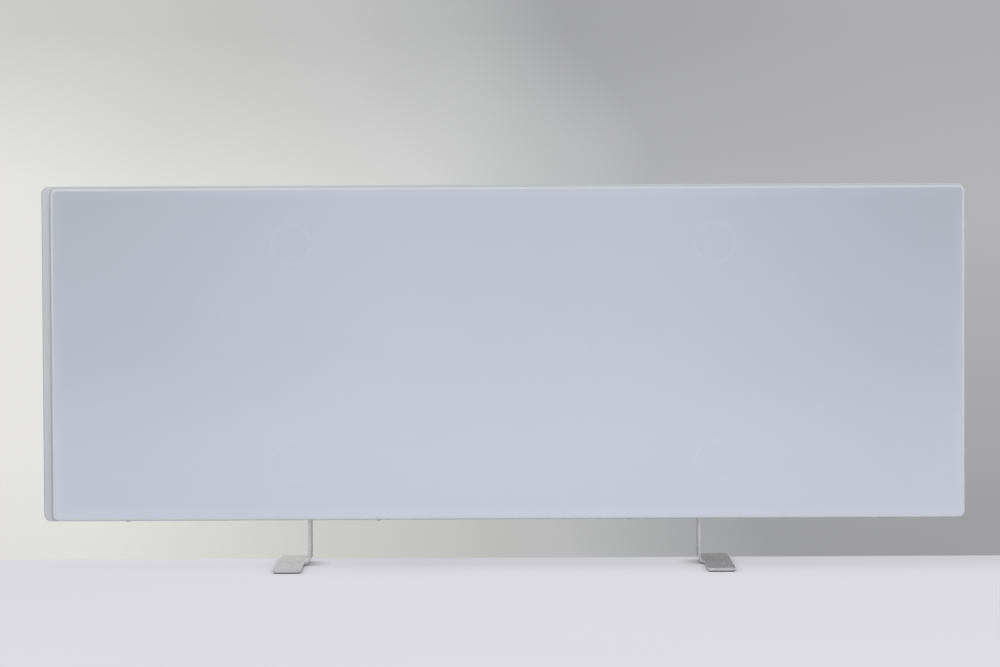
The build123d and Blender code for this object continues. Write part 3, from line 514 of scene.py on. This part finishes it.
def floor_material():
    """Pale board up to the floor line, and past it the backdrop's tones, both partly self-lit."""
    paint = Paint("floor_pale")
    x, y, z = paint.axes()
    clouds = paint.noise(1.5, 2.0)
    board = paint.ramp(clouds, [(0.3, shade(floor_colour, 0.99)), (0.7, shade(floor_colour, 1.01))])
    distance = paint.math("ADD", y, eye_distance)
    across = paint.math("DIVIDE", x, distance)
    paper = backdrop_tone(paint, across, paint.math("DIVIDE", -eye_height, distance))
    behind = paint.range(y, floor_line, floor_line + floor_line_width, 0.0, 1.0, True)
    nearing = paint.range(y, floor_shade_start, floor_line, 0.0, 0.13, True)
    shading = paint.product(nearing, paint.range(across, -0.07, -0.02, 0.0, 1.0, True))
    board = paint.scaled(board, paint.math("SUBTRACT", 1.0, shading))
    tone = paint.mix(behind, board, paper)
    paint.colour(tone)
    paint.set(Roughness=0.8, Specular_IOR_Level=0.1)
    glow = paint.node("ShaderNodeEmission")
    contact = paint.node("ShaderNodeAmbientOcclusion")
    contact.inputs["Distance"].default_value = contact_reach
    shadow = paint.range(contact.outputs["AO"], 0.0, 1.0, contact_darkest, 1.0)
    paint.link(paint.scaled(tone, shadow), glow.inputs["Color"])
    rays = paint.node("ShaderNodeLightPath")
    near_share = paint.range(behind, 0.0, 1.0, 0.78, 0.85)
    self_lit = paint.math("ADD", near_share, paint.range(y, 0.4, 2.0, 0.0, 0.15))
    share = paint.product(self_lit, rays.outputs["Is Camera Ray"])
    surface = paint.tree.nodes["Material Output"].inputs["Surface"]
    blend_shaders(paint, share, paint.shader.outputs[0], glow.outputs[0], surface)
    return paint.material


floor_mesh = bpy.data.meshes.new("floor")
floor_corners = [
    (-floor_half, -floor_half, 0),
    (floor_half, -floor_half, 0),
    (floor_half, floor_half, 0),
    (-floor_half, floor_half, 0),
]
floor_mesh.from_pydata(floor_corners, [], [(0, 1, 2, 3)])
floor = bpy.data.objects.new("floor", floor_mesh)
bpy.context.scene.collection.objects.link(floor)
floor_mesh.materials.append(floor_material())


# Camera: level with the top of the heater, far away, and tipped a little

camera_place = Vector((0.006, -eye_distance, eye_height))
camera_pitch = math.radians(2.119)
camera_yaw = math.radians(0.121)
camera_roll = math.radians(0.277)
sensor = 36.0
focal_pixels = 4150.0
image_width = 1000.0

camera_data = bpy.data.cameras.new("camera")
camera_data.sensor_width = sensor
camera_data.lens = focal_pixels * sensor / image_width
camera_data.clip_end = 50
camera = bpy.data.objects.new("camera", camera_data)
bpy.context.scene.collection.objects.link(camera)
looking_level = Matrix.Rotation(math.radians(90), 4, "X")
pitched = Matrix.Rotation(-camera_pitch, 4, "X")
turned = Matrix.Rotation(camera_yaw, 4, "Z")
rolled = Matrix.Rotation(-camera_roll, 4, "Z")
camera.matrix_world = Matrix.Translation(camera_place) @ turned @ pitched @ looking_level @ rolled
bpy.context.scene.camera = camera


# Light: a broad softbox in front, weaker ones above, behind and at the right, and an even world

front_tint = (0.98, 0.99, 1.0)
world_tint = (0.86, 0.87, 0.90)
world_light = 0.42
level_limit = 0.2


def softbox(name, place, target, size, power, tint=(1, 1, 1)):
    """Rectangular lamp that faces its target and isn't seen itself."""
    data = bpy.data.lights.new(name, "AREA")
    data.shape = "RECTANGLE"
    data.size, data.size_y = size
    data.energy = power
    data.color = tint
    lamp = bpy.data.objects.new(name, data)
    bpy.context.scene.collection.objects.link(lamp)
    aim = Vector(target) - Vector(place)
    facing = aim.to_track_quat("-Z", "Y").to_matrix().to_4x4()
    lamp.matrix_world = Matrix.Translation(Vector(place)) @ facing
    lamp.visible_camera = False
    return lamp


unmirrored_lamps = [
    softbox("front_softbox", (-0.1, -3.2, 1.15), (0, 0, 0.1), (2.6, 1.1), 53.0, front_tint),
    softbox("rear_softbox", (0.4, 3.4, 1.6), (0, 0, 0.2), (2.4, 1.2), 40.0),
    softbox("side_softbox", (3.0, -0.2, 1.1), (0.5, 0, 0.2), (1.2, 1.0), 12.0),
]
for lamp in unmirrored_lamps:
    lamp.visible_glossy = False
softbox("top_softbox", (-0.3, -0.3, 2.4), (0, 0, 0.2), (2.2, 1.4), 9.0)


def studio_world():
    """Even light all round, and the backdrop's tones where they show or are mirrored past the floor."""
    made = bpy.data.worlds.new("studio")
    made.use_nodes = True
    paint = Paint.__new__(Paint)
    paint.tree = made.node_tree
    paint.place = paint.node("ShaderNodeTexCoord").outputs["Generated"]
    x, y, z = paint.axes()
    depth = paint.math("MAXIMUM", paint.math("ABSOLUTE", y), level_limit)
    across = paint.math("DIVIDE", x, depth)
    up = paint.math("DIVIDE", z, depth)
    seen = paint.tree.nodes["Background"]
    paint.link(backdrop_tone(paint, across, up), seen.inputs["Color"])
    seen.inputs["Strength"].default_value = 1.0
    lighting = paint.node("ShaderNodeBackground")
    lighting.inputs["Color"].default_value = (*world_tint, 1)
    lighting.inputs["Strength"].default_value = world_light
    rays = paint.node("ShaderNodeLightPath")
    shown = paint.math("MAXIMUM", rays.outputs["Is Camera Ray"], rays.outputs["Is Transmission Ray"])
    shown = paint.math("MAXIMUM", shown, rays.outputs["Is Glossy Ray"])
    surface = paint.tree.nodes["World Output"].inputs["Surface"]
    blend_shaders(paint, shown, lighting.outputs[0], seen.outputs[0], surface)
    return made


bpy.context.scene.world = studio_world()

bpy.context.scene.view_settings.view_transform = "Standard"
